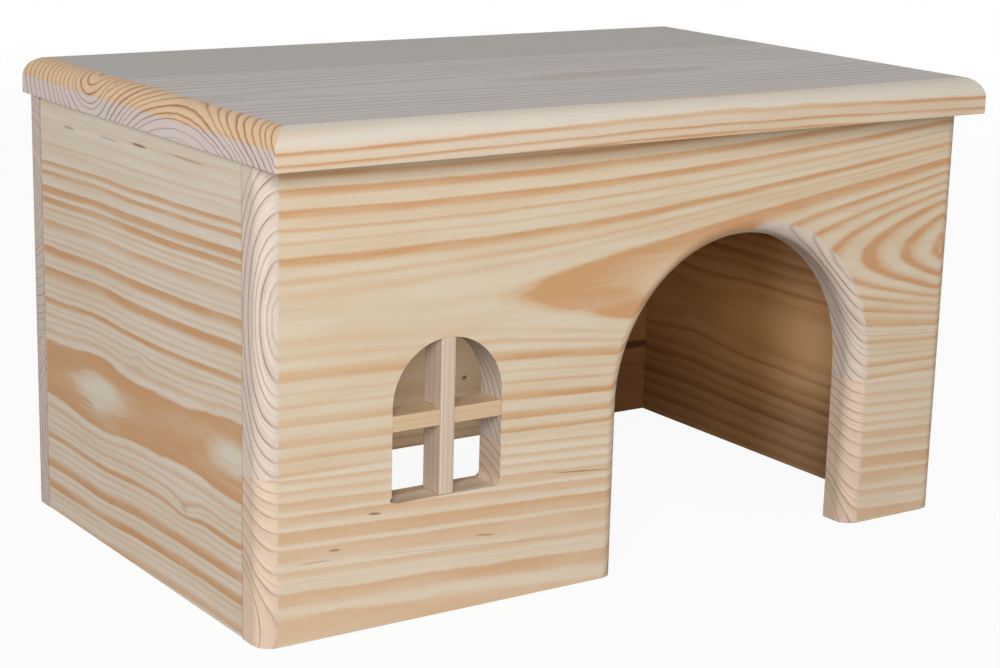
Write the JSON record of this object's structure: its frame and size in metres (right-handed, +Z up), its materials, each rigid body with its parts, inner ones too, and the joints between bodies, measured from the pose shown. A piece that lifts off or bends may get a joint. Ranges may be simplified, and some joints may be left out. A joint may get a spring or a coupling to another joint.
{
  "type": "wooden hamster house",
  "caption": "Flat-roofed pine house for hamsters: rounded-edge roof, arched doorway with rounded edge, arched window with crossed bars, open underneath.",
  "frame": {"origin": "middle of the footprint, on the ground that the walls stand on", "axes": "+X to the right along the front, +Y from the front panel to the back panel, +Z up"},
  "size_m": [0.28, 0.18, 0.159],
  "materials": {
    "pine_boards": "untreated planed and sanded pine, matte, orange latewood rings on cream",
    "window_bars": "untreated planed pine strip, matte",
    "dowel_wood": "untreated beech dowel, matte"
  },
  "bodies": {
    "root": {"roof_front_stave": "pine_boards", "roof_rear_stave": "pine_boards", "front_upper_stave": "pine_boards", "front_lower_left_stave": "pine_boards", "front_lower_right_stave": "pine_boards", "back_upper_stave": "pine_boards", "back_lower_stave": "pine_boards", "left_side_panel": "pine_boards", "right_side_panel": "pine_boards", "window_upright": "window_bars", "window_crossbar": "window_bars", "roof_dowels": "dowel_wood", "front_left_dowels": "dowel_wood", "front_right_dowels": "dowel_wood", "back_left_dowels": "dowel_wood", "back_right_dowels": "dowel_wood"}
  },
  "joints": []
}
